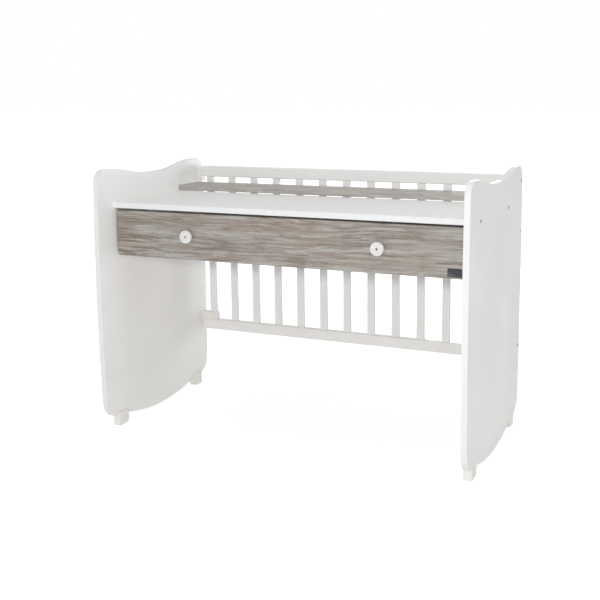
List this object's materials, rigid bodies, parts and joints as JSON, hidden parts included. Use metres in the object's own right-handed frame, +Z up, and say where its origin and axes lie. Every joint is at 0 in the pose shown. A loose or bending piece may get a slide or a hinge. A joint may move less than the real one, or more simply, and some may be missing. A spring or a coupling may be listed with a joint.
{
  "type": "convertible crib",
  "caption": "White convertible crib set up as a desk: curved end panels on small feet, desktop over a wide wood-look drawer, narrow back shelf and a slatted crib side behind.",
  "frame": {"origin": "on the floor, under the middle of the object", "axes": "+X along the length to the right end panel, -Y towards the drawer front, +Z up"},
  "size_m": [1.236, 0.6522, 0.863],
  "materials": {
    "white_board": "satin white laminate",
    "wood_look": "matt weathered wood grain",
    "drawer_board": "matt white foil",
    "hardboard": "matt white hardboard",
    "cream_plastic": "satin moulded plastic",
    "knob_white": "gloss",
    "runner_steel": "white powder coat",
    "roller_nylon": "nylon",
    "steel": "zinc plated",
    "dowel_wood": "raw beech"
  },
  "bodies": {
    "frame": {"left_end_panel": "white_board", "right_end_panel": "white_board", "desktop": "white_board", "top_rail": "white_board", "bottom_rail": "white_board", "slat_01": "white_board", "slat_02": "white_board", "slat_03": "white_board", "slat_04": "white_board", "slat_05": "white_board", "slat_06": "white_board", "slat_07": "white_board", "slat_08": "white_board", "slat_09": "white_board", "slat_10": "white_board", "slat_11": "white_board", "slat_12": "white_board", "slat_13": "white_board", "back_shelf": "wood_look", "foot_front_left": "cream_plastic", "foot_front_right": "cream_plastic", "foot_back_left": "cream_plastic", "foot_back_right": "cream_plastic", "rail_pad_left": "cream_plastic", "rail_socket_left": "cream_plastic", "runner_channel_left": "runner_steel", "rail_pad_right": "cream_plastic", "rail_socket_right": "cream_plastic", "runner_channel_right": "runner_steel", "panel_bolts": "steel", "foot_screws": "steel", "runner_screws": "steel", "socket_screws": "steel", "front_roller_axles": "steel", "shelf_dowels": "dowel_wood"},
    "drawer": {"drawer_front": "wood_look", "drawer_left_side": "drawer_board", "drawer_right_side": "drawer_board", "drawer_back": "drawer_board", "drawer_bottom": "hardboard", "drawer_cams": "steel", "cam_bolts": "steel", "drawer_dowels": "dowel_wood", "drawer_back_screws": "steel", "angle_screws": "steel", "knob_left": "knob_white", "knob_right": "knob_white", "knob_screws": "steel", "drawer_angle_left": "runner_steel", "drawer_angle_right": "runner_steel", "rear_roller_axles": "steel"},
    "front_roller_left": {"front_roller_left": "roller_nylon"},
    "front_roller_right": {"front_roller_right": "roller_nylon"},
    "rear_roller_left": {"rear_roller_left": "roller_nylon"},
    "rear_roller_right": {"rear_roller_right": "roller_nylon"}
  },
  "joints": [
    {"name": "drawer_slide", "type": "slide", "parent": "frame", "child": "drawer", "axis": [0, -1, 0], "range_m": [0, 0.26]},
    {"name": "front_roller_left_turn", "type": "hinge", "parent": "frame", "child": "front_roller_left", "pos_m": [-0.59455, -0.2, 0.6049], "axis": [1, 0, 0], "continuous": true},
    {"name": "rear_roller_left_turn", "type": "hinge", "parent": "drawer", "child": "rear_roller_left", "pos_m": [-0.59295, 0.123, 0.6063], "axis": [1, 0, 0], "continuous": true},
    {"name": "front_roller_right_turn", "type": "hinge", "parent": "frame", "child": "front_roller_right", "pos_m": [0.59455, -0.2, 0.6049], "axis": [1, 0, 0], "continuous": true},
    {"name": "rear_roller_right_turn", "type": "hinge", "parent": "drawer", "child": "rear_roller_right", "pos_m": [0.59295, 0.123, 0.6063], "axis": [1, 0, 0], "continuous": true}
  ],
  "couplings": [
    {"joint": "front_roller_left_turn", "follows": "drawer_slide", "rad_per_m": 125},
    {"joint": "rear_roller_left_turn", "follows": "drawer_slide", "rad_per_m": 100},
    {"joint": "front_roller_right_turn", "follows": "drawer_slide", "rad_per_m": 125},
    {"joint": "rear_roller_right_turn", "follows": "drawer_slide", "rad_per_m": 100}
  ]
}
